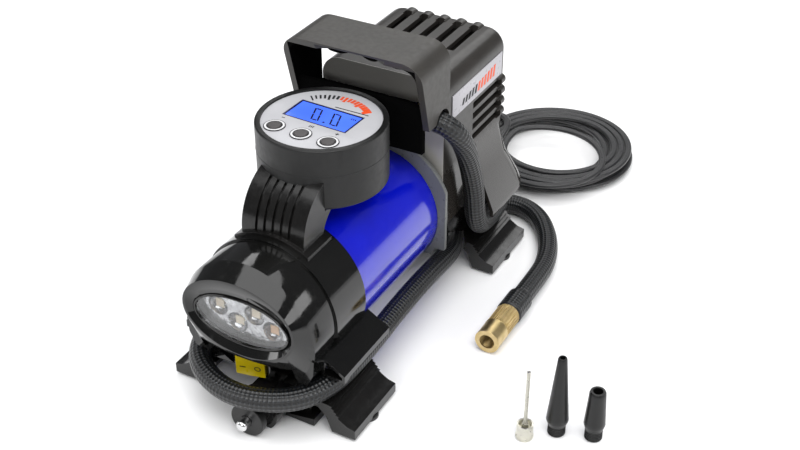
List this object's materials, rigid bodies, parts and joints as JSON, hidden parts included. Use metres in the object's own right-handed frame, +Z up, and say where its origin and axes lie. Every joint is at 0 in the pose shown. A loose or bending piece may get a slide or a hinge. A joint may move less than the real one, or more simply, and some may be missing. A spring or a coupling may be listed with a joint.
{
  "type": "portable tyre inflator",
  "caption": "Portable 12 V tyre inflator with motor barrel, lamp, digital gauge, carry handle, wrapped air hose, coiled power cord and loose adapters.",
  "frame": {"origin": "on the floor midway between the four feet", "axes": "+Z up; -Y towards the lamp and display side; the motor axis runs along Y; +X is the side of the hose outlet"},
  "size_m": [0.1767, 0.3135, 0.131],
  "materials": {
    "barrel_blue": "gloss",
    "cover_black": "satin",
    "cap_black": "gloss",
    "gauge_charcoal": "matte",
    "face_grey": "satin",
    "display_blue": "gloss",
    "rocker_yellow": "gloss",
    "pad_rubber": "matte",
    "hose_braid": "satin",
    "cord_black": "satin",
    "brass": "satin",
    "chrome": "polished",
    "steel": "satin",
    "copper": "satin",
    "aluminium": "cast",
    "lens_clear": "gloss",
    "led_yellow": "gloss",
    "board_green": "satin",
    "white_plastic": "satin",
    "label_grey": "gloss",
    "nozzle_black": "satin"
  },
  "bodies": {
    "inflator": {"air_hose": "hose_braid", "cord_lead": "cord_black", "cord_tail": "cord_black", "cord_coil": "cord_black", "motor_barrel": "barrel_blue", "motor_can": "steel", "motor_magnets": "cap_black", "brush_card": "white_plastic", "bearing_bushes": "brass", "gearbox_plate": "aluminium", "cylinder": "aluminium", "cylinder_head": "aluminium", "outlet_fitting": "brass", "sensor_tube": "white_plastic", "compressor_cover": "cover_black", "handle_frame": "cover_black", "barrel_collar": "cap_black", "rear_base": "cover_black", "front_base": "cover_black", "foot_pads": "pad_rubber", "front_cap": "cap_black", "plug_clip": "cover_black", "side_labels": "label_grey", "assembly_screws": "steel", "lamp_reflector": "chrome", "lamp_leds": "led_yellow", "lamp_lens": "lens_clear", "switch_frame": "cap_black", "gauge_pedestal": "cover_black", "gauge_case_lower": "gauge_charcoal", "gauge_case_upper": "gauge_charcoal", "gauge_face": "face_grey", "lcd_window": "display_blue", "gauge_board": "board_green", "hose_ferrule": "brass", "chuck_core": "brass", "cord_grommet": "cord_black", "plug_body": "nozzle_black", "plug_contacts": "chrome"},
    "rotor": {"rotor_shaft": "steel", "armature_core": "steel", "armature_winding": "copper", "commutator": "copper", "cooling_fan": "white_plastic", "motor_pinion": "brass"},
    "crank": {"crank_gear": "white_plastic", "crank_shaft": "steel"},
    "piston": {"piston": "aluminium", "piston_ring": "white_plastic", "wrist_pin": "steel"},
    "rod": {"connecting_rod": "aluminium"},
    "rocker": {"switch_rocker": "rocker_yellow"},
    "minus_key": {"button_minus": "face_grey"},
    "mode_key": {"button_mode": "face_grey"},
    "plus_key": {"button_plus": "face_grey"},
    "chuck": {"chuck_collar": "brass"},
    "plug_pin": {"plug_tip": "chrome"},
    "needle": {"needle_adapter": "chrome"},
    "long_nozzle": {"tall_nozzle": "nozzle_black"},
    "wide_nozzle": {"short_nozzle": "nozzle_black"}
  },
  "joints": [
    {"name": "rotor_spin", "type": "hinge", "parent": "inflator", "child": "rotor", "pos_m": [0, 0, 0.0455], "axis": [0, 1, 0], "continuous": true},
    {"name": "crank_spin", "type": "hinge", "parent": "inflator", "child": "crank", "pos_m": [0, 0, 0.0622], "axis": [0, 1, 0], "continuous": true},
    {"name": "piston_stroke", "type": "slide", "parent": "inflator", "child": "piston", "axis": [0, 0, 1], "range_m": [0, 0.014]},
    {"name": "rod_swing", "type": "hinge", "parent": "piston", "child": "rod", "pos_m": [0, 0.0487, 0.0762], "axis": [0, 1, 0], "range_deg": [-19.5, 19.5]},
    {"name": "rocker_tilt", "type": "hinge", "parent": "inflator", "child": "rocker", "pos_m": [-0.0008, -0.0854, 0.0274], "axis": [0, 0, 1], "range_deg": [-25, 0]},
    {"name": "minus_press", "type": "slide", "parent": "inflator", "child": "minus_key", "axis": [0, 0, -1], "range_m": [0, 0.0008], "stiffness_N_per_m": 600, "springref_m": -0.0006},
    {"name": "mode_press", "type": "slide", "parent": "inflator", "child": "mode_key", "axis": [0, 0, -1], "range_m": [0, 0.0008], "stiffness_N_per_m": 600, "springref_m": -0.0006},
    {"name": "plus_press", "type": "slide", "parent": "inflator", "child": "plus_key", "axis": [0, 0, -1], "range_m": [0, 0.0008], "stiffness_N_per_m": 600, "springref_m": -0.0006},
    {"name": "chuck_spin", "type": "hinge", "parent": "inflator", "child": "chuck", "pos_m": [0.0664, 0, 0.0062], "axis": [0, 1, 0], "continuous": true},
    {"name": "plug_pin_push", "type": "slide", "parent": "inflator", "child": "plug_pin", "axis": [0, 1, 0], "range_m": [0, 0.002], "stiffness_N_per_m": 500, "springref_m": -0.001},
    {"name": "needle_lift", "type": "slide", "parent": "inflator", "child": "needle", "axis": [0, 0, 1], "range_m": [0, 0.12]},
    {"name": "long_nozzle_lift", "type": "slide", "parent": "inflator", "child": "long_nozzle", "axis": [0, 0, 1], "range_m": [0, 0.12]},
    {"name": "wide_nozzle_lift", "type": "slide", "parent": "inflator", "child": "wide_nozzle", "axis": [0, 0, 1], "range_m": [0, 0.12]}
  ],
  "couplings": [
    {"joint": "crank_spin", "follows": "rotor_spin", "ratio": -0.22222}
  ]
}
